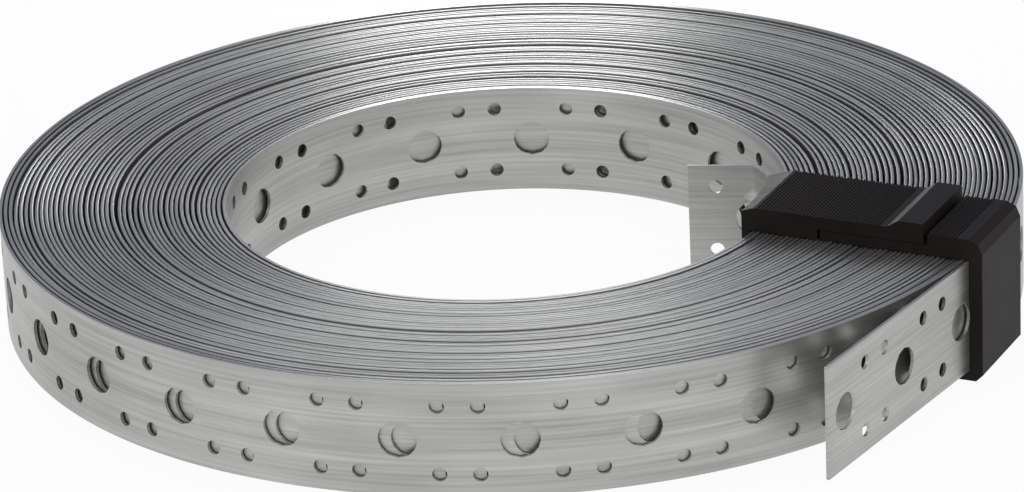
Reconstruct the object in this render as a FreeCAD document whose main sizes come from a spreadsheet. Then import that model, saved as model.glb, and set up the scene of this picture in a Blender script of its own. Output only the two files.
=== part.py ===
"""Coil of perforated steel strap, held by a two-piece ratchet clip.

Frame: +Z up along the coil's axis, origin on that axis at the coil's underside, +X square to the flat
free end of the strap, which runs along -Y. Millimetres.
The strap is one piece: the wound coil, its free outer end and its kinked inner end are one solid, with
a groove between every two turns on both ends of the coil and the perforation cut one turn deep.
The clip is a pair of C-shaped brackets whose toothed arms lap over each other, above and below the coil.
"""
import FreeCAD
import Part
import math
import os
import Sketcher

V = FreeCAD.Vector
doc = FreeCAD.newDocument("StrapCoil")

# ---------------------------------------------------------------- driving dimensions
SIZES = [
    # the strap
    ("strap_width", 40.0, "width of the strap, and so the height of the coil"),
    ("strap_thick", 1.5, "thickness of the strap"),
    ("hole_pitch", 40.0, "from one large hole to the next"),
    ("large_hole_d", 13.0, "large hole on the centre line"),
    ("nail_hole_d", 5.0, "nail hole"),
    ("nail_spacing", 13.333, "from a large hole to the nail holes beside it, along the strap"),
    ("nail_gauge", 24.0, "between the two rows of nail holes, across the strap"),
    # the coil
    ("coil_radius", 180.8, "outside of the outer turn"),
    ("bore_radius", 96.3, "inside of the inner turn"),
    ("bore_shift", 13.2, "from the coil's axis to the bore's, because the turns lie looser on one side"),
    ("bore_shift_angle", -64.6, "direction of that shift, degrees from +X"),
    ("groove_width", 0.4, "gap that shows between two turns"),
    ("groove_depth", 0.8, "depth of that gap"),
    ("outer_phase", 11.9, "angle of the first large hole past the free end, degrees"),
    ("inner_phase", 117.1, "angle of one large hole of the inner turn about the bore, degrees"),
    # the free outer end
    ("free_length", 94.0, "flat free end, from where it leaves the coil to its cut"),
    # the inner end
    ("root_angle", 26.8, "where the inner end leaves the bore's wall, degrees about the bore"),
    ("leg_heading", 142.3, "heading of the first leg, degrees from +X"),
    ("leg_length", 24.9, "first leg, from the wall to the kink"),
    ("kink_angle", 64.7, "turn at the kink, degrees"),
    ("kink_radius", 2.5, "inner radius of the kink"),
    ("tip_length", 24.0, "second leg, from the kink to the cut"),
    ("tip_margin", 9.8, "from that cut to its pair of nail holes"),
    # the clip
    ("clip_angle", 7.0, "direction of the clip, degrees from +X"),
    ("clip_width", 37.0, "both brackets, along the strap"),
    ("clip_gap", 0.2, "between the clip's walls and the coil, and between its lapping arms"),
    ("outer_wall", 3.6, "outer bracket's wall"),
    ("inner_wall", 3.0, "inner bracket's wall"),
    ("tongue_thick", 3.6, "arms of the outer bracket where the inner bracket laps them"),
    ("block_thick", 7.6, "top arm of the outer bracket beside its wall"),
    ("block_length", 16.0, "that thicker stretch, from the wall inwards"),
    ("tongue_length", 55.0, "both arms of the outer bracket, from the wall inwards"),
    ("lap_thick", 4.6, "arms of the inner bracket where they lap the outer bracket's"),
    ("lap_play", 1.5, "between the inner bracket's top arm and the outer bracket's thick stretch"),
    ("low_lap_short", 6.5, "the same for its bottom arm"),
    ("ramp_length", 4.0, "slope up to the thumb bar"),
    ("nose_length", 13.0, "sloped nose above the bore"),
    ("nose_drop", 4.5, "height that the nose loses"),
    ("bar_length", 9.0, "thumb bar on the inner bracket, along the arm"),
    ("bar_height", 2.6, "thumb bar above the arm"),
    ("tooth_pitch", 1.2, "ratchet teeth"),
    ("tooth_depth", 0.6, "ratchet teeth"),
    ("corner_radius", 5.0, "outer corners of the outer bracket"),
]
TURNS = 45

sheet = doc.addObject("Spreadsheet::Sheet", "sizes")
for row, (alias, value, note) in enumerate(SIZES, start=1):
    sheet.set(f"A{row}", alias)
    sheet.set(f"B{row}", str(value))
    sheet.set(f"C{row}", note)
    sheet.setAlias(f"B{row}", alias)
doc.recompute()


def size(alias):
    """A driving dimension, as a number."""
    return float(sheet.get(alias))


# ---------------------------------------------------------------- helpers
def plane_of(body, role):
    return next(f for f in body.Origin.OriginFeatures if f.Role == role)


def new_sketch(body, name, role, base=("0", "0", "0"), turn="0 deg", axis=V(0, 0, 1)):
    """A sketch on one of the body's origin planes, shifted and turned by expressions on the sheet."""
    sketch = body.newObject("Sketcher::SketchObject", name)
    sketch.AttachmentSupport = [(plane_of(body, role), "")]
    sketch.MapMode = "FlatFace"
    sketch.AttachmentOffset = FreeCAD.Placement(V(0, 0, 0), FreeCAD.Rotation(axis, 1.0))
    sketch.setExpression("AttachmentOffset.Rotation.Angle", turn)
    for letter, expression in zip("xyz", base):
        if expression != "0":
            sketch.setExpression(f"AttachmentOffset.Base.{letter}", expression)
    return sketch


def dimension(sketch, name, kind, refs, value, expression):
    """One named constraint bound to the sheet."""
    index = sketch.addConstraint(Sketcher.Constraint(kind, *refs, value))
    sketch.renameConstraint(index, name)
    sketch.setExpression(f"Constraints.{name}", expression)


def add_circle(sketch, name, x, y, diameter):
    """A circle whose centre and diameter are expressions; x or y may be None for a centre on that axis."""
    geo = sketch.addGeometry(Part.Circle(V(1, 1, 0), V(0, 0, 1), 2.0), False)
    for axis, kind, value in (("x", "DistanceX", x), ("y", "DistanceY", y)):
        if value is None:
            line = -2 if axis == "x" else -1
            sketch.addConstraint(Sketcher.Constraint("PointOnObject", geo, 3, line))
        else:
            dimension(sketch, f"{name}_{axis}", kind, (-1, 1, geo, 3), 1.0, value)
    dimension(sketch, f"{name}_d", "Diameter", (geo,), 4.0, diameter)
    return geo


def add_loop(sketch, points):
    """A closed polygon; returns the index of its first line."""
    first = sketch.GeometryCount
    count = len(points)
    for i in range(count):
        sketch.addGeometry(Part.LineSegment(V(*points[i], 0), V(*points[(i + 1) % count], 0)), False)
    for i in range(count):
        sketch.addConstraint(Sketcher.Constraint("Coincident", first + i, 2, first + (i + 1) % count, 1))
    return first


def add_box(sketch, wide, high):
    """A rectangle from the sketch's origin, its two sides given as expressions."""
    first = add_loop(sketch, [(0, 0), (2, 0), (2, 1), (0, 1)])
    for offset, kind in enumerate(("Horizontal", "Vertical", "Horizontal", "Vertical")):
        sketch.addConstraint(Sketcher.Constraint(kind, first + offset))
    sketch.addConstraint(Sketcher.Constraint("Coincident", first, 1, -1, 1))
    dimension(sketch, "wide", "Distance", (first,), 2.0, wide)
    dimension(sketch, "high", "Distance", (first + 1,), 1.0, high)
    return first


def extrude(body, kind, name, sketch, length, both_ways=False, reverse=False):
    """A Pad or Pocket whose length is an expression."""
    feature = body.newObject(f"PartDesign::{kind}", name)
    feature.Profile = sketch
    feature.setExpression("Length", length)
    feature.Midplane = both_ways
    feature.Reversed = reverse
    sketch.Visibility = False
    doc.recompute()
    return feature


def linear(body, name, originals, count, length, reverse=False):
    """Repeats features along the body's X axis over a length given as an expression."""
    pattern = body.newObject("PartDesign::LinearPattern", name)
    pattern.Originals = originals
    pattern.Direction = (plane_of(body, "X_Axis"), [""])
    pattern.Reversed = reverse
    pattern.Occurrences = count
    pattern.setExpression("Length", length)
    body.Tip = pattern
    doc.recompute()
    return pattern


def report(body, before, label):
    """Prints what a cut or addition did to the volume, so that one that missed shows."""
    volume = body.Shape.Volume
    print(f"{body.Label}: {label}: {before:.0f} -> {volume:.0f} mm3")
    return volume


# ---------------------------------------------------------------- the strap
def bore_axis():
    """Expressions for the bore's axis."""
    return (
        "sizes.bore_shift * cos(sizes.bore_shift_angle * 1deg)",
        "sizes.bore_shift * sin(sizes.bore_shift_angle * 1deg)",
    )


def wind_coil(body):
    """The wound turns as one ring with its bore, and a groove between every two turns on both ends."""
    bore_x, bore_y = bore_axis()
    ring = new_sketch(body, "ring", "XY_Plane")
    add_circle(ring, "outside", None, None, "2 * sizes.coil_radius")
    add_circle(ring, "bore", bore_x, bore_y, "2 * sizes.bore_radius")
    extrude(body, "Pad", "coil", ring, "sizes.strap_width")
    volume = report(body, 0, "coil")
    for end, lift, reverse in (("top", "sizes.strap_width", False), ("bottom", "0", True)):
        seams = new_sketch(body, f"seams_{end}", "XY_Plane", base=("0", "0", lift))
        for turn in range(1, TURNS):
            share = f"{TURNS - turn} / {TURNS}"
            radius = f"(sizes.bore_radius * {share} + sizes.coil_radius * {turn} / {TURNS})"
            for side, sign in (("in", "-"), ("out", "+")):
                add_circle(
                    seams,
                    f"seam{turn}{side}",
                    f"{bore_x} * {share}",
                    f"{bore_y} * {share}",
                    f"2 * {radius} {sign} sizes.groove_width",
                )
        extrude(body, "Pocket", f"grooves_{end}", seams, "sizes.groove_depth", reverse=reverse)
        volume = report(body, volume, f"grooves {end}")
    return volume


def add_free_end(body, volume):
    """The flat free end, in line with the outer turn where it leaves the coil."""
    sketch = new_sketch(
        body, "free_end_plan", "XY_Plane",
        base=("sizes.coil_radius - sizes.strap_thick", "-sizes.free_length", "0"),
    )
    add_box(sketch, "sizes.strap_thick", "sizes.free_length")
    extrude(body, "Pad", "free_end", sketch, "sizes.strap_width")
    return report(body, volume, "free end")


def add_inner_end(body, volume):
    """The inner end: a leg that leaves the bore's wall, a kink, and a flat tip, drawn along the first leg."""
    bore_x, bore_y = bore_axis()
    root_x = f"{bore_x} + (sizes.bore_radius + sizes.strap_thick) * cos(sizes.root_angle * 1deg)"
    root_y = f"{bore_y} + (sizes.bore_radius + sizes.strap_thick) * sin(sizes.root_angle * 1deg)"
    sketch = new_sketch(
        body, "inner_end_plan", "XY_Plane", base=(root_x, root_y, "0"), turn="sizes.leg_heading * 1deg"
    )
    thick, inner = size("strap_thick"), size("kink_radius")
    turn = math.radians(size("kink_angle"))
    straight = size("leg_length") - (inner + thick / 2) * math.tan(turn / 2)
    tip = size("tip_length") - (inner + thick / 2) * math.tan(turn / 2)
    along = V(math.cos(turn), math.sin(turn), 0)
    across = V(-math.sin(turn), math.cos(turn), 0)
    centre = V(straight, thick + inner, 0)
    far_right = centre - across * (inner + thick)
    near_right = centre - across * inner
    corners = [V(0, 0, 0), V(straight, 0, 0), far_right, far_right + along * tip,
               near_right + along * tip, near_right, V(straight, thick, 0), V(0, thick, 0)]
    down = -math.pi / 2
    outer_arc = Part.ArcOfCircle(Part.Circle(centre, V(0, 0, 1), inner + thick), down, down + turn)
    inner_arc = Part.ArcOfCircle(Part.Circle(centre, V(0, 0, 1), inner), down, down + turn)
    parts = [
        Part.LineSegment(corners[0], corners[1]),
        outer_arc,
        Part.LineSegment(corners[2], corners[3]),
        Part.LineSegment(corners[3], corners[4]),
        Part.LineSegment(corners[4], corners[5]),
        inner_arc,
        Part.LineSegment(corners[6], corners[7]),
        Part.LineSegment(corners[7], corners[0]),
    ]
    leg, bend, tip_out, cut, tip_in, bend_in, leg_in, root = [sketch.addGeometry(g, False) for g in parts]
    for constraint in (
        ("Tangent", leg, 2, bend, 1),
        ("Tangent", bend, 2, tip_out, 1),
        ("Coincident", tip_out, 2, cut, 1),
        ("Coincident", cut, 2, tip_in, 1),
        ("Tangent", tip_in, 2, bend_in, 2),
        ("Tangent", bend_in, 1, leg_in, 1),
        ("Coincident", leg_in, 2, root, 1),
        ("Coincident", root, 2, leg, 1),
        ("Coincident", bend, 3, bend_in, 3),
        ("Perpendicular", cut, tip_out),
        ("Coincident", leg, 1, -1, 1),
        ("Horizontal", leg),
        ("Vertical", root),
    ):
        sketch.addConstraint(Sketcher.Constraint(*constraint))
    set_back = "(sizes.kink_radius + sizes.strap_thick / 2) * tan(sizes.kink_angle * 0.5deg)"
    dimension(sketch, "thick", "Distance", (root,), thick, "sizes.strap_thick")
    dimension(sketch, "inside", "Radius", (bend_in,), inner, "sizes.kink_radius")
    dimension(sketch, "leg", "Distance", (leg,), straight, f"sizes.leg_length - {set_back}")
    dimension(sketch, "tip", "Distance", (tip_out,), tip, f"sizes.tip_length - {set_back}")
    dimension(sketch, "turn", "Angle", (leg, 1, tip_out, 1), turn, "sizes.kink_angle * 1deg")
    extrude(body, "Pad", "inner_end", sketch, "sizes.strap_width")
    return report(body, volume, "inner end")


def nail_pair(sketch):
    """The two nail holes, one above the other, on the sketch's own upright axis."""
    for row, sign in (("low", "-"), ("high", "+")):
        height = f"sizes.strap_width / 2 {sign} sizes.nail_gauge / 2"
        add_circle(sketch, f"nail{row}", None, height, "sizes.nail_hole_d")


def punch_wall(body, name, radius, phase, count, centre, axis, volume):
    """The perforation of one turn: a large hole and the nail holes beside it, repeated round the wall."""
    step = f"sizes.hole_pitch / {radius} * 180 / pi"
    beside = f"sizes.nail_spacing / {radius} * 180 / pi"
    cuts = []
    for which, offset in (("large", "0"), ("ahead", f"{beside}"), ("behind", f"-({beside})")):
        angle = f"({phase} + {offset}) * 1deg"
        # the plane's own axes are the body's Y, Z and X
        place = (f"{centre[1]} + {radius} * sin({angle})", "0", f"{centre[0]} + {radius} * cos({angle})")
        sketch = new_sketch(body, f"{name}_{which}", "YZ_Plane", base=place, turn=angle, axis=V(0, 1, 0))
        if which == "large":
            add_circle(sketch, "hole", None, "sizes.strap_width / 2", "sizes.large_hole_d")
        else:
            nail_pair(sketch)
        doc.recompute()
        depth = "2 * sizes.strap_thick"
        cuts.append(extrude(body, "Pocket", f"{name}_{which}_cut", sketch, depth, both_ways=True))
    pattern = body.newObject("PartDesign::PolarPattern", f"{name}_turn")
    pattern.Originals = cuts
    pattern.Axis = axis
    body.Tip = pattern
    pattern.Occurrences = count
    pattern.setExpression("Angle", f"{step} * {count - 1}")
    doc.recompute()
    return report(body, volume, name)


def punch_free_end(body, volume):
    """The perforation of the flat free end, in step with the outer turn's."""
    start = "sizes.coil_radius * sizes.outer_phase * pi / 180"
    sketch = new_sketch(body, "free_holes", "YZ_Plane", base=("0", "0", "sizes.coil_radius"))
    middle = "sizes.strap_width / 2"
    for k in (1, 2, 3):
        add_circle(sketch, f"large{k}", f"{start} - {k} * sizes.hole_pitch", middle, "sizes.large_hole_d")
    for k in (1, 2):
        for side, across in (("a", "-"), ("b", "+")):
            for row, sign in (("low", "-"), ("high", "+")):
                beside = f"{across} (sizes.hole_pitch / 2 - sizes.nail_spacing)"
                along = f"{start} - {k} * sizes.hole_pitch - sizes.hole_pitch / 2 {beside}"
                add_circle(sketch, f"nail{k}{side}{row}", along, f"{middle} {sign} sizes.nail_gauge / 2",
                           "sizes.nail_hole_d")
    extrude(body, "Pocket", "free_holes_cut", sketch, "2 * sizes.strap_thick", both_ways=True)
    return report(body, volume, "free end's holes")


def punch_tip(body, volume):
    """The pair of nail holes near the cut of the inner end."""
    bore_x, bore_y = bore_axis()
    root = "(sizes.bore_radius + sizes.strap_thick)"
    leg = "sizes.leg_heading * 1deg"
    tip = "(sizes.leg_heading + sizes.kink_angle) * 1deg"
    reach = "(sizes.tip_length - sizes.tip_margin)"
    x, y = (
        f"{start} + {root} * {wave}(sizes.root_angle * 1deg)"
        f" + sizes.leg_length * {wave}({leg}) + {reach} * {wave}({tip})"
        for start, wave in ((bore_x, "cos"), (bore_y, "sin"))
    )
    sketch = new_sketch(body, "tip_holes", "YZ_Plane", base=(y, "0", x), turn=f"{tip} - 90deg", axis=V(0, 1, 0))
    nail_pair(sketch)
    extrude(body, "Pocket", "tip_holes_cut", sketch, "4 * sizes.strap_thick", both_ways=True)
    return report(body, volume, "tip's holes")


def make_strap():
    body = doc.addObject("PartDesign::Body", "strap")
    body.Label = "strap"
    volume = wind_coil(body)
    volume = add_free_end(body, volume)
    volume = add_inner_end(body, volume)
    volume = punch_wall(body, "outer", "sizes.coil_radius", "sizes.outer_phase", 27, ("0", "0"),
                        (plane_of(body, "Z_Axis"), [""]), volume)
    bore = body.newObject("Sketcher::SketchObject", "bore_axis")
    bore.AttachmentSupport = [(plane_of(body, "XY_Plane"), "")]
    bore.MapMode = "FlatFace"
    bore_x, bore_y = bore_axis()
    bore.setExpression("AttachmentOffset.Base.x", bore_x)
    bore.setExpression("AttachmentOffset.Base.y", bore_y)
    doc.recompute()
    volume = punch_wall(body, "inner", "sizes.bore_radius", "sizes.inner_phase", 13, (bore_x, bore_y),
                        (bore, ["N_Axis"]), volume)
    volume = punch_free_end(body, volume)
    punch_tip(body, volume)
    return body


# ---------------------------------------------------------------- the clip
def side_profile(body, name, points):
    """A closed outline in the body's XZ plane; every corner is a pair of expressions."""
    numbers = [(evaluate(x), evaluate(z)) for x, z in points]
    sketch = new_sketch(body, name, "XZ_Plane")
    first = add_loop(sketch, numbers)
    for i, (x, z) in enumerate(points):
        dimension(sketch, f"x{i}", "DistanceX", (-1, 1, first + i, 1), numbers[i][0], x)
        dimension(sketch, f"z{i}", "DistanceY", (-1, 1, first + i, 1), numbers[i][1], z)
    return sketch


def evaluate(expression):
    """The number that an expression on the sheet has now."""
    value = sheet.evalExpression(expression.replace("sizes.", ""))
    return float(getattr(value, "Value", value))


def bracket(name):
    """A body whose own X axis points along the clip's direction."""
    body = doc.addObject("PartDesign::Body", name)
    body.Label = name
    body.Placement = FreeCAD.Placement(V(0, 0, 0), FreeCAD.Rotation(V(0, 0, 1), 1.0))
    body.setExpression("Placement.Rotation.Angle", "sizes.clip_angle * 1deg")
    return body


WALL_IN = "(sizes.coil_radius + sizes.clip_gap)"
WALL_OUT = "(sizes.coil_radius + sizes.clip_gap + sizes.outer_wall)"
TONGUE_END = "(sizes.coil_radius + sizes.clip_gap - sizes.tongue_length)"
BLOCK_END = "(sizes.coil_radius + sizes.clip_gap - sizes.block_length)"
COIL_TOP = "(sizes.strap_width + sizes.clip_gap)"
TONGUE_TOP = "(sizes.strap_width + sizes.clip_gap + sizes.tongue_thick)"
BLOCK_TOP = "(sizes.strap_width + sizes.clip_gap + sizes.block_thick)"
LAP_UNDER = "(sizes.strap_width + 2 * sizes.clip_gap + sizes.tongue_thick)"
LAP_TOP = "(sizes.strap_width + 2 * sizes.clip_gap + sizes.tongue_thick + sizes.lap_thick)"


def mirrored(height):
    """The same distance below the coil as the given height is above it."""
    return f"(sizes.strap_width - {height})"


def cut_teeth(body, name, start, top, count, volume):
    """A row of small V-shaped notches across an arm."""
    pitch = "sizes.tooth_pitch"
    notch = side_profile(body, f"{name}_notch", [
        (f"{start} + 0.15 * {pitch}", f"{top} + 0.5"),
        (f"{start} + 0.15 * {pitch}", f"{top}"),
        (f"{start} + 0.5 * {pitch}", f"{top} - sizes.tooth_depth"),
        (f"{start} + 0.85 * {pitch}", f"{top}"),
        (f"{start} + 0.85 * {pitch}", f"{top} + 0.5"),
    ])
    cut = extrude(body, "Pocket", f"{name}_cut", notch, "2 * sizes.clip_width", both_ways=True)
    row = linear(body, name, [cut], count, f"{pitch} * {count - 1}")
    return report(body, volume, name)


def make_outer_bracket():
    """The bracket round the coil's outside, with the toothed tongues."""
    body = bracket("clip_outer")
    low_out = mirrored(TONGUE_TOP)
    profile = side_profile(body, "profile", [
        (TONGUE_END, low_out),
        (f"{WALL_OUT} - 0.5 * sizes.corner_radius", low_out),
        (WALL_OUT, f"{low_out} + 0.5 * sizes.corner_radius"),
        (WALL_OUT, f"{BLOCK_TOP} - sizes.corner_radius"),
        (f"{WALL_OUT} - 0.3 * sizes.corner_radius", f"{BLOCK_TOP} - 0.3 * sizes.corner_radius"),
        (f"{WALL_OUT} - sizes.corner_radius", BLOCK_TOP),
        (BLOCK_END, BLOCK_TOP),
        (BLOCK_END, TONGUE_TOP),
        (TONGUE_END, TONGUE_TOP),
    ])
    extrude(body, "Pad", "block", profile, "sizes.clip_width", both_ways=True)
    volume = report(body, 0, "block")
    seat = new_sketch(body, "seat", "XY_Plane", base=("0", "0", "-sizes.clip_gap"))
    add_circle(seat, "coil", None, None, f"2 * {WALL_IN}")
    extrude(body, "Pocket", "seat_cut", seat, "sizes.strap_width + 2 * sizes.clip_gap", reverse=True)
    volume = report(body, volume, "seat")
    volume = cut_teeth(body, "block_teeth", f"{BLOCK_END} + 1", BLOCK_TOP, 8, volume)
    return body


def make_inner_bracket():
    """The bracket round the inside of the bore, whose arms lap the tongues, with the thumb bar."""
    body = bracket("clip_inner")
    # the bore's axis in the body's own axes
    along = "sizes.bore_shift * cos((sizes.bore_shift_angle - sizes.clip_angle) * 1deg)"
    beside = "sizes.bore_shift * sin((sizes.bore_shift_angle - sizes.clip_angle) * 1deg)"
    reach = f"({along} + sizes.bore_radius)"
    lap_end = f"({BLOCK_END} - sizes.lap_play)"
    low_end = f"({BLOCK_END} - sizes.low_lap_short)"
    back = f"({reach} - 4 * sizes.inner_wall)"
    profile = side_profile(body, "profile", [
        (back, mirrored(LAP_TOP)),
        (low_end, mirrored(LAP_TOP)),
        (low_end, mirrored(LAP_UNDER)),
        (f"{TONGUE_END} - 1", mirrored(LAP_UNDER)),
        (f"{TONGUE_END} - 1", LAP_UNDER),
        (lap_end, LAP_UNDER),
        (lap_end, f"{LAP_TOP} + sizes.bar_height"),
        (f"{lap_end} - sizes.bar_length", f"{LAP_TOP} + sizes.bar_height"),
        (f"{lap_end} - sizes.bar_length - sizes.ramp_length", LAP_TOP),
        (f"{back} + sizes.nose_length", LAP_TOP),
        (back, f"{LAP_TOP} - sizes.nose_drop"),
    ])
    extrude(body, "Pad", "block", profile, "sizes.clip_width", both_ways=True)
    volume = report(body, 0, "block")
    seat = new_sketch(body, "seat", "XY_Plane", base=("0", "0", "-sizes.clip_gap"))
    add_circle(seat, "bore", along, beside, "2 * (sizes.bore_radius - sizes.clip_gap)")
    add_circle(seat, "beyond", None, None, "3 * sizes.coil_radius")
    extrude(body, "Pocket", "seat_cut", seat, "sizes.strap_width + 2 * sizes.clip_gap", reverse=True)
    volume = report(body, volume, "seat")
    inside = new_sketch(body, "inside", "XY_Plane", base=("0", "0", "-sizes.strap_width"))
    add_circle(inside, "bore", along, beside, "2 * (sizes.bore_radius - sizes.clip_gap - sizes.inner_wall)")
    extrude(body, "Pocket", "inside_cut", inside, "3 * sizes.strap_width", reverse=True)
    volume = report(body, volume, "inside")
    volume = cut_teeth(body, "top_ribs", f"{back} + sizes.nose_length + 1", LAP_TOP, 38, volume)
    return body


# ---------------------------------------------------------------- build and write
doc.recompute()
bodies = [make_strap(), make_outer_bracket(), make_inner_bracket()]
doc.recompute()
for obj in doc.Objects:
    if "Invalid" in obj.State or "Error" in obj.State:
        raise SystemExit(f"{obj.Name} is in state {obj.State}")
os.makedirs("parts", exist_ok=True)
for body in bodies:
    shape = body.Shape
    if shape.isNull() or not shape.isValid():
        raise SystemExit(f"{body.Label} has no valid shape")
    box = shape.BoundBox
    print(f"{body.Label}: solids {len(shape.Solids)}, volume {shape.Volume:.0f} mm3, "
          f"x {box.XMin:.1f}..{box.XMax:.1f}, y {box.YMin:.1f}..{box.YMax:.1f}, z {box.ZMin:.1f}..{box.ZMax:.1f}")
    shape.exportStep(f"parts/{body.Label}.step")
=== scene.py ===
# %% [markdown]
# # A coil of perforated steel strap, modelled as a real spiral
#
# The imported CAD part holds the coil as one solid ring. Here the same strap is wound turn by turn:
# one flat perforated band is described in its own plane (distance along, height, thickness), and one
# function wraps it along the spiral. The lesson is that mapping: flat band -> wound band.

# %%
import math

import bpy
import numpy as np
from mathutils import Matrix, Vector
from mathutils.geometry import delaunay_2d_cdt


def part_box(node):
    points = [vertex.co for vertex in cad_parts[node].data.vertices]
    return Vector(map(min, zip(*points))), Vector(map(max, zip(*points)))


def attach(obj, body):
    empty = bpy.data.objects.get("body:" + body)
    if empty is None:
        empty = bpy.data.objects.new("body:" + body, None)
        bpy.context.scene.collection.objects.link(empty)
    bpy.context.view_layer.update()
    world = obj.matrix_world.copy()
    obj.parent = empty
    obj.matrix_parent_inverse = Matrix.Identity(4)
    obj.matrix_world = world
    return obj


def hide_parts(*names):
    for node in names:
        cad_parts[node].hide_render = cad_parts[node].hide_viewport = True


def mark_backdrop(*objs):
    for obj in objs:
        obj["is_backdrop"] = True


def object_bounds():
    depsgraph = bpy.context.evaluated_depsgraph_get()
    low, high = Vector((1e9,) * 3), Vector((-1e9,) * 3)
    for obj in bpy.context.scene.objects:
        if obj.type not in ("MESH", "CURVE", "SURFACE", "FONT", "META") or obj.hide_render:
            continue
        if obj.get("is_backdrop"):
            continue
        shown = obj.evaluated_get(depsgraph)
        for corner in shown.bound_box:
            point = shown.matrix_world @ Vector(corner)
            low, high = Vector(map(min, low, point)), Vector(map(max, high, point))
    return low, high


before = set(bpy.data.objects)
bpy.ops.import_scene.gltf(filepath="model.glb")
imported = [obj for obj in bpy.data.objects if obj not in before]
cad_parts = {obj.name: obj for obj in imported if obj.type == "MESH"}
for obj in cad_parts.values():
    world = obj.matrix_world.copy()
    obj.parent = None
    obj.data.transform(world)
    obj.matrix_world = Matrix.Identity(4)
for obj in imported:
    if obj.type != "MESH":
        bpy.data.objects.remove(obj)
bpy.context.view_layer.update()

MM = 0.001
strap_low, strap_high = (np.array(corner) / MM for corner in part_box("strap"))

# the strap, millimetres
WIDTH = strap_high[2] - strap_low[2]
THICK = 1.5
TURN_GAP = 0.4            # taken off each turn's back, so that a dark line shows between turns
PITCH = 40.0
LARGE_R = 6.5
NAIL_R = 2.5
NAIL_ALONG = PITCH / 3
NAIL_ACROSS = 12.0
# the coil
COIL_R = 180.8
BORE_R = 96.3
BORE_SHIFT = 13.2
BORE_SHIFT_ANGLE = math.radians(-64.6)
ROOT_ANGLE = math.radians(26.8)
WHOLE_TURNS = 44
# the two ends
FREE_LENGTH = 94.0
FIRST_HOLE = 11.55
INNER_PHASE = math.radians(117.1)
OUTER_PHASE = math.radians(303.4)
UNDER_CLIP = math.radians(6.0)
LEG_HEADING = math.radians(142.3)
LEG_LENGTH = 24.9
KINK = math.radians(64.7)
KINK_R = 3.25
TIP_LENGTH = 24.0
TIP_MARGIN = 9.8
ROOT_BEND_LENGTH = 3.0
JUST_BEFORE = 0.005       # radians before the spiral's last point
# how the bands are divided
FREE_STEPS = 190
FREE_JOIN = 0.5           # left open before the spiral's first point
LARGE_SIDES = 36
NAIL_SIDES = 18
COLUMN = 4.0
ROWS = 11
NAIL_ROOM = 0.5           # a pair of nail holes nearer than this to a cell's end is left out
CLEAR_OF_HOLE = 1.12      # grid points nearer a hole than this share of its radius are dropped
IN_HOLE = 0.97            # triangles whose middle is within this share are the hole itself
SLIVER = 0.5              # a shorter piece of a cell is left out
SHARP_EDGE = math.radians(25)
# chance
SLACK_SHAPE = 1.6         # shape of the gamma draw: how unevenly the turns have opened
rng = np.random.default_rng(7)
print("strap width", round(float(WIDTH), 2), "mm, coil radius", COIL_R, "mm")

# %% [markdown]
# ## The path of the strap
#
# Walking inwards from the cut of the free end, the path is a straight run, then a spiral, then the inner
# leg, a kink and the tip. On the spiral each turn loses one strap thickness and a hair on the tight side
# of the coil. On the loose side it loses more, by an amount that differs from turn to turn, because
# a coil that has been handled opens unevenly.


# %%
def spiral():
    """The strap's middle line round its turns, as (angle, x, y). For its outer face:

    radius = coil radius - tight loss * turns - shift * slack share
    centre = bore shift * slack share, so the losses add up to the bore's own radius and centre.
    """
    end_turns = WHOLE_TURNS + ROOT_ANGLE / (2 * math.pi)
    angle = np.linspace(0.0, 2 * math.pi * end_turns, int(end_turns * 360))
    turns = angle / (2 * math.pi)
    steps = rng.gamma(SLACK_SHAPE, 1.0, WHOLE_TURNS + 1)
    knots = np.concatenate([[0.0], np.cumsum(steps)]) / np.sum(steps)
    slack = np.interp(turns, np.linspace(0, end_turns, WHOLE_TURNS + 2), knots)
    tight_loss = (COIL_R - BORE_R - THICK - BORE_SHIFT) / end_turns
    radius = COIL_R - tight_loss * turns - BORE_SHIFT * slack
    centre_x = BORE_SHIFT * math.cos(BORE_SHIFT_ANGLE) * slack
    centre_y = BORE_SHIFT * math.sin(BORE_SHIFT_ANGLE) * slack
    middle = radius - THICK / 2
    return angle, centre_x + middle * np.cos(angle), centre_y + middle * np.sin(angle)


def walk(x, y, heading, runs, step=0.25):
    """Points of a walk from (x, y): each run is (length, turn), turned evenly along its length."""
    xs, ys = [], []
    for length, turn in runs:
        count = max(2, int(length / step))
        headings = heading + turn * (np.arange(count) + 0.5) / count
        xs.append(x + np.cumsum(np.cos(headings)) * length / count)
        ys.append(y + np.cumsum(np.sin(headings)) * length / count)
        x, y, heading = xs[-1][-1], ys[-1][-1], heading + turn
    return np.concatenate(xs), np.concatenate(ys)


def whole_path():
    """The strap's middle line as (distance, x, y, angle), from the free end's cut to the tip's."""
    angle, sx, sy = spiral()
    free_y = np.linspace(-FREE_LENGTH, -FREE_JOIN, FREE_STEPS)
    free_x = np.full_like(free_y, COIL_R - THICK / 2)
    set_back = KINK_R * math.tan(KINK / 2)
    root_bend = LEG_HEADING - (ROOT_ANGLE + math.pi / 2)
    ex, ey = walk(sx[-1], sy[-1], ROOT_ANGLE + math.pi / 2, [
        (ROOT_BEND_LENGTH, root_bend),
        (LEG_LENGTH - set_back - ROOT_BEND_LENGTH, 0.0),
        (KINK_R * KINK, KINK),
        (TIP_LENGTH - set_back, 0.0),
    ])
    x = np.concatenate([free_x, sx, ex])
    y = np.concatenate([free_y, sy, ey])
    distance = np.concatenate([[0.0], np.cumsum(np.hypot(np.diff(x), np.diff(y)))])
    turned = np.concatenate([np.zeros_like(free_x), angle, np.full_like(ex, angle[-1])])
    return distance, x, y, turned


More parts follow.
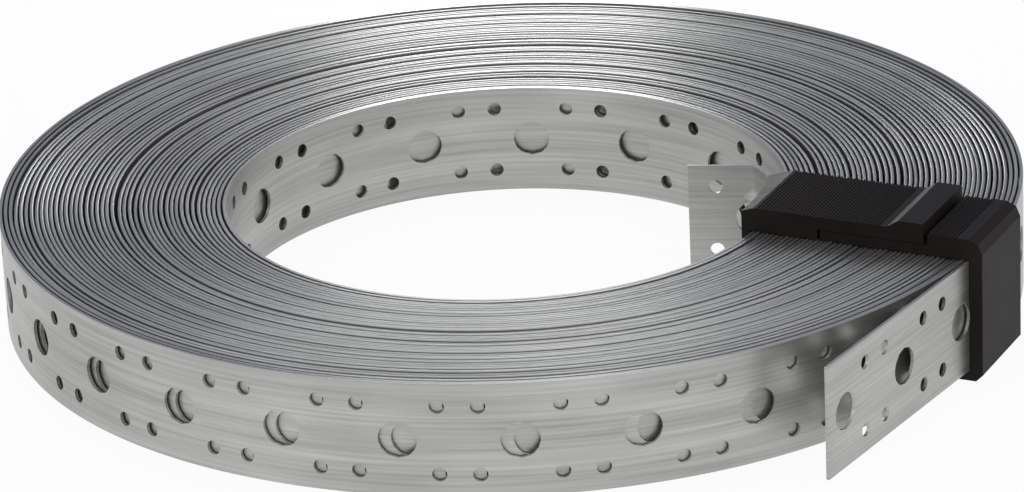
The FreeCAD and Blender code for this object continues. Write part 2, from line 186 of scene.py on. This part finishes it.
PATH_S, PATH_X, PATH_Y, PATH_A = whole_path()
PATH_TX = np.gradient(PATH_X, PATH_S)
PATH_TY = np.gradient(PATH_Y, PATH_S)
LIFTS_PER_TURN = 1.5
LIFT_SPREAD = 0.22
SECOND_TURN_LIFT = 0.5
LIFT_KNOTS = rng.normal(0.0, LIFT_SPREAD, int(WHOLE_TURNS * LIFTS_PER_TURN) + 8)
LIFT_KNOTS[:2] = 0.0
LIFT_KNOTS[2] = SECOND_TURN_LIFT


def wrap(flat):
    """Maps flat band points (along, height, depth) to the wound strap, in metres.

    point = path(along) + depth * outward normal + height * up, with a little lift that drifts by turn.
    """
    along, height, depth = flat[:, 0], flat[:, 1], flat[:, 2]
    tx, ty = np.interp(along, PATH_S, PATH_TX), np.interp(along, PATH_S, PATH_TY)
    size = np.hypot(tx, ty)
    x = np.interp(along, PATH_S, PATH_X) + depth * ty / size
    y = np.interp(along, PATH_S, PATH_Y) - depth * tx / size
    turned = np.interp(along, PATH_S, PATH_A)
    lift = np.interp(turned / (2 * math.pi) * LIFTS_PER_TURN, np.arange(len(LIFT_KNOTS)), LIFT_KNOTS)
    return np.column_stack([x, y, height + lift]) * MM


print("strap length", round(float(PATH_S[-1]) / 1000, 2), "m")

# %% [markdown]
# ## Flat bands
#
# The perforated band is triangulated once for a whole pitch and repeated. A perforated cell is
# a grid of points with rings of points round each hole; the triangles that fall in a hole are dropped.
# Walls are then raised along every edge that only one triangle uses, which closes the band.


# %%
def ring(x, y, radius, count):
    """Evenly spaced points on a circle: centre + radius * (cos, sin)."""
    turn = np.arange(count) * 2 * math.pi / count
    return np.column_stack([x + radius * np.cos(turn), y + radius * np.sin(turn)])


def flat_cell(start, end):
    """Triangles of one cell between two distances from its large hole, as (points, triangles)."""
    holes = [(0.0, WIDTH / 2, LARGE_R, LARGE_SIDES)]
    for along in (-NAIL_ALONG, NAIL_ALONG):
        if start < along - NAIL_R - NAIL_ROOM and along + NAIL_R + NAIL_ROOM < end:
            holes += [(along, WIDTH / 2 + side * NAIL_ACROSS, NAIL_R, NAIL_SIDES) for side in (-1, 1)]
    holes = [h for h in holes if start < h[0] - h[2] and h[0] + h[2] < end]
    columns = max(2, round((end - start) / COLUMN))
    gx, gy = np.meshgrid(np.linspace(start, end, columns + 1), np.linspace(0, WIDTH, ROWS))
    points = np.column_stack([gx.ravel(), gy.ravel()])
    edges = []
    for x, y, radius, _ in holes:
        points = points[np.hypot(points[:, 0] - x, points[:, 1] - y) > radius * CLEAR_OF_HOLE]
    for x, y, radius, count in holes:
        base = len(points)
        points = np.vstack([points, ring(x, y, radius, count)])
        edges += [(base + i, base + (i + 1) % count) for i in range(count)]
    out = delaunay_2d_cdt([Vector(p) for p in points], edges, [], 0, 1e-5)
    verts = np.array([tuple(v) for v in out[0]])
    faces = np.array([tuple(f) for f in out[2]])
    middle = verts[faces].mean(axis=1)
    keep = np.ones(len(faces), bool)
    for x, y, radius, _ in holes:
        keep &= np.hypot(middle[:, 0] - x, middle[:, 1] - y) > radius * IN_HOLE
    faces = faces[keep]
    a, b, c = (verts[faces[:, i]] for i in range(3))
    area = (b[:, 0] - a[:, 0]) * (c[:, 1] - a[:, 1]) - (b[:, 1] - a[:, 1]) * (c[:, 0] - a[:, 0])
    faces = faces[np.abs(area) > 1e-6]
    area = area[np.abs(area) > 1e-6]
    faces[area < 0] = faces[area < 0][:, ::-1]
    return verts, faces


def perforated(first_hole, start, end):
    """Front layer of a band from start to end whose large holes fall at first_hole + k * pitch."""
    low = int(math.floor((start - first_hole) / PITCH + 0.5))
    high = int(math.floor((end - first_hole) / PITCH + 0.5))
    inner = flat_cell(-PITCH / 2, PITCH / 2)
    verts, faces, base = [], [], 0
    for k in range(low, high + 1):
        at = first_hole + k * PITCH
        cell_start, cell_end = max(start - at, -PITCH / 2), min(end - at, PITCH / 2)
        if cell_end - cell_start < SLIVER:
            continue
        whole = cell_start == -PITCH / 2 and cell_end == PITCH / 2
        points, triangles = inner if whole else flat_cell(cell_start, cell_end)
        verts.append(points + np.array([at, 0.0]))
        faces.append(triangles + base)
        base += len(points)
    verts, faces = np.vstack(verts), np.vstack(faces)
    _, first, same = np.unique(np.round(verts, 3), axis=0, return_index=True, return_inverse=True)
    return verts[first], same.reshape(-1)[faces]


def thicken(verts, faces):
    """Closes a flat layer: front at +half thickness, back a turn gap short of -half, walls on free edges."""
    count = len(verts)
    front = np.column_stack([verts, np.full(count, THICK / 2)])
    back = np.column_stack([verts, np.full(count, TURN_GAP - THICK / 2)])
    directed = np.vstack([faces[:, [0, 1]], faces[:, [1, 2]], faces[:, [2, 0]]])
    key = directed[:, 0].astype(np.int64) * count + directed[:, 1]
    twin = directed[:, 1].astype(np.int64) * count + directed[:, 0]
    free = directed[~np.isin(key, twin)]
    walls = np.vstack([
        np.column_stack([free[:, 1], free[:, 0], free[:, 0] + count]),
        np.column_stack([free[:, 1], free[:, 0] + count, free[:, 1] + count]),
    ])
    return np.vstack([front, back]), np.vstack([faces, faces[:, ::-1] + count, walls])


def plain(start, end, step=8.0):
    """A closed band with no holes and slightly eased edges, as (flat points, triangles)."""
    ease = 0.3
    front = THICK / 2
    back = TURN_GAP - THICK / 2
    section = np.array([
        (0, front - ease), (ease, front), (WIDTH - ease, front), (WIDTH, front - ease),
        (WIDTH, back + ease), (WIDTH - ease, back), (ease, back), (0, back + ease),
    ])
    stations = np.linspace(start, end, int((end - start) / step))
    sides = len(section)
    flat = np.column_stack([np.repeat(stations, sides), np.tile(section, (len(stations), 1))])
    i, j = np.meshgrid(np.arange(len(stations) - 1), np.arange(sides), indexing="ij")
    i, j = i.ravel(), j.ravel()
    a, b = i * sides + j, i * sides + (j + 1) % sides
    c, d = b + sides, a + sides
    caps = np.array([(0, k, k + 1) for k in range(1, sides - 1)])
    tail = (len(stations) - 1) * sides + caps[:, ::-1]
    return flat, np.vstack([np.column_stack([a, d, c]), np.column_stack([a, c, b]), caps, tail])


def make_piece(name, flat, faces):
    """A mesh object from flat points, wound, with the flat coordinates kept as its UV map in metres."""
    wound = wrap(flat)
    a, b, c = (wound[faces[:, i]] for i in range(3))
    if np.einsum("ij,ij->i", np.cross(a, b), c).sum() < 0:
        faces = faces[:, ::-1]
    mesh = bpy.data.meshes.new(name)
    mesh.vertices.add(len(wound))
    mesh.vertices.foreach_set("co", wound.ravel())
    mesh.loops.add(faces.size)
    mesh.loops.foreach_set("vertex_index", faces.ravel().astype(np.int32))
    mesh.polygons.add(len(faces))
    mesh.polygons.foreach_set("loop_start", np.arange(0, faces.size, 3, dtype=np.int32))
    uv = mesh.uv_layers.new(name="band")
    uv.data.foreach_set("uv", (flat[faces.ravel()][:, :2] * MM).ravel())
    mesh.update()
    mesh.validate()
    mesh.shade_smooth()
    mesh.set_sharp_from_angle(angle=SHARP_EDGE)
    obj = bpy.data.objects.new(name, mesh)
    bpy.context.collection.objects.link(obj)
    print(name, len(faces), "triangles")
    return obj


def distance_at(turns, angle=0.0):
    """Distance along the strap where it has wound the given number of turns and angle."""
    return float(np.interp(2 * math.pi * turns + angle, PATH_A, PATH_S))


OUTER_TURNS = 3           # perforated turns that show through each other's holes
INNER_TURNS = 2
outer_end = distance_at(OUTER_TURNS)
inner_start = distance_at(WHOLE_TURNS - INNER_TURNS)
inner_hole = distance_at(WHOLE_TURNS - 1, INNER_PHASE)

# the free end keeps its own hole phase as far as the clip; the wound turns take theirs from the front
free_stop = distance_at(0, UNDER_CLIP)
outer_hole = distance_at(0, OUTER_PHASE)
strap_free = make_piece("strap_free_end", *thicken(*perforated(FIRST_HOLE, 0.0, free_stop)))
strap_outer = make_piece("strap_outer_turns", *thicken(*perforated(outer_hole, free_stop, outer_end)))
strap_core = make_piece("strap_core_turns", *plain(outer_end, inner_start))
root = distance_at(WHOLE_TURNS, ROOT_ANGLE - JUST_BEFORE)
tip_cut = float(PATH_S[-1])
tip_hole = tip_cut - TIP_MARGIN - NAIL_ALONG
strap_inner = make_piece("strap_inner_turns", *thicken(*perforated(inner_hole, inner_start, root)))
strap_tip = make_piece("strap_inner_end", *thicken(*perforated(tip_hole, root, tip_cut)))
STRAP_PIECES = (strap_free, strap_outer, strap_core, strap_inner, strap_tip)
for piece in STRAP_PIECES:
    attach(piece, "root")
    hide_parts("strap")

# %% [markdown]
# ## Finishes
#
# One small class lets shader maths read like ordinary maths.


# %%
ZINC_DARK = (0.27, 0.27, 0.26)
ZINC_PALE = (0.60, 0.605, 0.58)
PLASTIC_PLAIN = (0.005, 0.0042, 0.0042)
PLASTIC_WORN = (0.016, 0.011, 0.010)


class Sock:
    """A shader socket that can be added, subtracted and multiplied."""

    def __init__(self, tree, out):
        self.tree, self.out = tree, out

    def math(self, kind, *values):
        return node(self.tree, "ShaderNodeMath", {"operation": kind}, dict(enumerate(values)))

    def __add__(self, other):
        return self.math("ADD", self, other)

    __radd__ = __add__

    def __mul__(self, other):
        return self.math("MULTIPLY", self, other)

    __rmul__ = __mul__

    def __sub__(self, other):
        return self.math("SUBTRACT", self, other)

    def __rsub__(self, other):
        return self.math("SUBTRACT", other, self)


def node(tree, kind, settings=None, inputs=None, output=0):
    """Adds a node, sets it up, links or fills its inputs, and gives one output as a Sock."""
    made = tree.nodes.new(kind)
    for key, value in (settings or {}).items():
        setattr(made, key, value)
    for key, value in (inputs or {}).items():
        if isinstance(value, Sock):
            tree.links.new(value.out, made.inputs[key])
        else:
            made.inputs[key].default_value = value
    return Sock(tree, made.outputs[output])


def new_material(name):
    """An empty node material and its tree."""
    material = bpy.data.materials.new(name)
    material.use_nodes = True
    material.node_tree.nodes.clear()
    return material, material.node_tree


def finish_material(tree, shader):
    """Sends a shader to the material's output."""
    out = tree.nodes.new("ShaderNodeOutputMaterial")
    tree.links.new(shader.out, out.inputs["Surface"])


def mixed(tree, factor, first, second):
    """Colour between two colours by a factor socket."""
    made = tree.nodes.new("ShaderNodeMix")
    made.data_type = "RGBA"
    tree.links.new(factor.out, made.inputs["Factor"])
    made.inputs["A"].default_value = (*first, 1)
    made.inputs["B"].default_value = (*second, 1)
    return Sock(tree, made.outputs["Result"])


def galvanised():
    """Zinc sheen with fine rolling streaks that run along the strap."""
    material, tree = new_material("galvanised_zinc")
    uv = node(tree, "ShaderNodeUVMap", {"uv_map": "band"})
    lines = node(tree, "ShaderNodeMapping", None, {"Vector": uv, "Scale": (14, 900, 1)})
    streak = node(tree, "ShaderNodeTexNoise", None, {"Vector": lines, "Scale": 1.0, "Detail": 5.0})
    wide = node(tree, "ShaderNodeMapping", None, {"Vector": uv, "Scale": (9, 130, 1)})
    band = node(tree, "ShaderNodeTexNoise", None, {"Vector": wide, "Scale": 1.0, "Detail": 2.0})
    coord = node(tree, "ShaderNodeTexCoord", output="Object")
    cloud = node(tree, "ShaderNodeTexNoise", None, {"Vector": coord, "Scale": 22.0, "Detail": 3.0})
    tone = streak * 0.45 + band * 0.35 + cloud * 0.2
    spread = tone * 2.2 - 0.6
    color = mixed(tree, spread, ZINC_DARK, ZINC_PALE)
    bump = node(tree, "ShaderNodeBump", None, {"Height": streak, "Strength": 0.25, "Distance": 0.0001})
    shader = node(tree, "ShaderNodeBsdfPrincipled", None, {
        "Base Color": color, "Metallic": 0.9, "Roughness": 0.24 + tone * 0.25, "Normal": bump,
    })
    finish_material(tree, shader)
    return material


def clip_plastic():
    """Black moulded plastic with a faint brown cast and a fine grain."""
    material, tree = new_material("black_clip_plastic")
    coord = node(tree, "ShaderNodeTexCoord", output="Object")
    grain = node(tree, "ShaderNodeTexNoise", None, {"Vector": coord, "Scale": 900.0, "Detail": 2.0})
    wear = node(tree, "ShaderNodeTexNoise", None, {"Vector": coord, "Scale": 60.0, "Detail": 3.0})
    color = mixed(tree, wear, PLASTIC_PLAIN, PLASTIC_WORN)
    bump = node(tree, "ShaderNodeBump", None, {"Height": grain, "Strength": 0.2, "Distance": 0.0001})
    shader = node(tree, "ShaderNodeBsdfPrincipled", None, {
        "Base Color": color, "Roughness": 0.42 + wear * 0.16, "Normal": bump, "Specular IOR Level": 0.12,
    })
    finish_material(tree, shader)
    return material


def dress(obj, material):
    """Gives an object one material in place of its own."""
    obj.data.materials.clear()
    obj.data.materials.append(material)


zinc = galvanised()
black = clip_plastic()
for piece in STRAP_PIECES:
    dress(piece, zinc)
for name in ("clip_outer", "clip_inner", "strap"):
    dress(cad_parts[name], zinc if name == "strap" else black)
print("finishes on", len(STRAP_PIECES), "strap pieces and", len(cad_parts), "nodes")

# %% [markdown]
# ## Floor, light and camera

# %%
VIEW_ANGLE = math.radians(-56.6)
VIEW_RISE = math.radians(22.4)
VIEW_DISTANCE = 1.805
VIEW_ROLL = math.radians(-2.61)
VIEW_LENS = 179.0
AIM = Vector((0, 0, 0.0130))
ROOM_BEYOND = (0.80, 0.83, 1.0)
ROOM_BEHIND_VIEWER = (1.0, 1.0, 0.97)


def white_floor(level):
    """A pale floor that looks white to the camera and still takes a faint shadow."""
    material, tree = new_material("floor_white")
    seen = node(tree, "ShaderNodeLightPath", output="Is Camera Ray")
    mirrored = node(tree, "ShaderNodeLightPath", output="Is Glossy Ray")
    paint = node(tree, "ShaderNodeBsdfDiffuse", None, {"Color": (0.85, 0.85, 0.85, 1)})
    glow = node(tree, "ShaderNodeEmission", None, {"Color": (1, 1, 1, 1), "Strength": 1.0})
    white = seen * 0.95 + mirrored * 0.8
    finish_material(tree, node(tree, "ShaderNodeMixShader", None, {0: white, 1: paint, 2: glow}))
    mesh = bpy.data.meshes.new("floor")
    far = 6.0
    mesh.from_pydata([(-far, -far, level), (far, -far, level), (far, far, level), (-far, far, level)],
                     [], [(0, 1, 2, 3)])
    floor = bpy.data.objects.new("floor", mesh)
    bpy.context.collection.objects.link(floor)
    floor.data.materials.append(material)
    return floor


def studio_world():
    """White where the camera sees it, and a soft room for everything else."""
    world = bpy.data.worlds.new("studio")
    bpy.context.scene.world = world
    world.use_nodes = True
    tree = world.node_tree
    tree.nodes.clear()
    seen = node(tree, "ShaderNodeLightPath", output="Is Camera Ray")
    # the room is bright behind the viewer and dim beyond the coil, so the turns' edges stay grey
    turned = node(tree, "ShaderNodeMapping", {"vector_type": "POINT"}, {
        "Vector": node(tree, "ShaderNodeTexCoord"), "Rotation": (0, 0, -VIEW_ANGLE),
    })
    split = tree.nodes.new("ShaderNodeSeparateXYZ")
    tree.links.new(turned.out, split.inputs[0])
    near = Sock(tree, split.outputs["X"]) * 0.5 + 0.5
    tint = mixed(tree, near, ROOM_BEYOND, ROOM_BEHIND_VIEWER)
    room = node(tree, "ShaderNodeBackground", None, {"Color": tint, "Strength": near * 0.6 + 0.4})
    backdrop = node(tree, "ShaderNodeBackground", None, {"Color": (1, 1, 1, 1), "Strength": 1.0})
    mix = node(tree, "ShaderNodeMixShader", None, {0: seen, 1: room, 2: backdrop})
    out = tree.nodes.new("ShaderNodeOutputWorld")
    tree.links.new(mix.out, out.inputs["Surface"])


def toward(side, rise):
    """Unit vector turned by side from the camera's own direction, at a rise above level, in radians."""
    angle = VIEW_ANGLE + side
    return Vector((math.cos(rise) * math.cos(angle), math.cos(rise) * math.sin(angle), math.sin(rise)))


def soft_box(name, side, rise, distance, size, power):
    """A square lamp aimed at the coil; angles in degrees, from the camera's own direction."""
    light = bpy.data.lights.new(name, "AREA")
    light.size = size
    light.energy = power
    lamp = bpy.data.objects.new(name, light)
    lamp.location = toward(math.radians(side), math.radians(rise)) * distance
    lamp.visible_camera = False
    lamp.rotation_euler = (-lamp.location).to_track_quat("-Z", "Y").to_euler()
    bpy.context.collection.objects.link(lamp)


def add_camera():
    """The main view: from above the free end's side, through a long lens."""
    camera = bpy.data.objects.new("camera", bpy.data.cameras.new("camera"))
    bpy.context.collection.objects.link(camera)
    camera.data.lens = VIEW_LENS
    camera.data.clip_end = 50
    camera.location = Vector((0, 0, WIDTH * MM / 2)) + toward(0, VIEW_RISE) * VIEW_DISTANCE
    look = (AIM - camera.location).to_track_quat("-Z", "Y").to_matrix().to_4x4()
    camera.rotation_euler = (look @ Matrix.Rotation(VIEW_ROLL, 4, "Z")).to_euler()
    bpy.context.scene.camera = camera


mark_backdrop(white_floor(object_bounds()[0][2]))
studio_world()
soft_box("back_light", side=180, rise=20.3, distance=0.45, size=0.14, power=0.36)
soft_box("left_light", side=-60, rise=30, distance=1.8, size=1.0, power=2)
soft_box("front_light", side=25, rise=30, distance=2.0, size=1.2, power=6)
add_camera()
bpy.context.scene.view_settings.view_transform = "Standard"
print("camera", bpy.context.scene.camera.location[:])
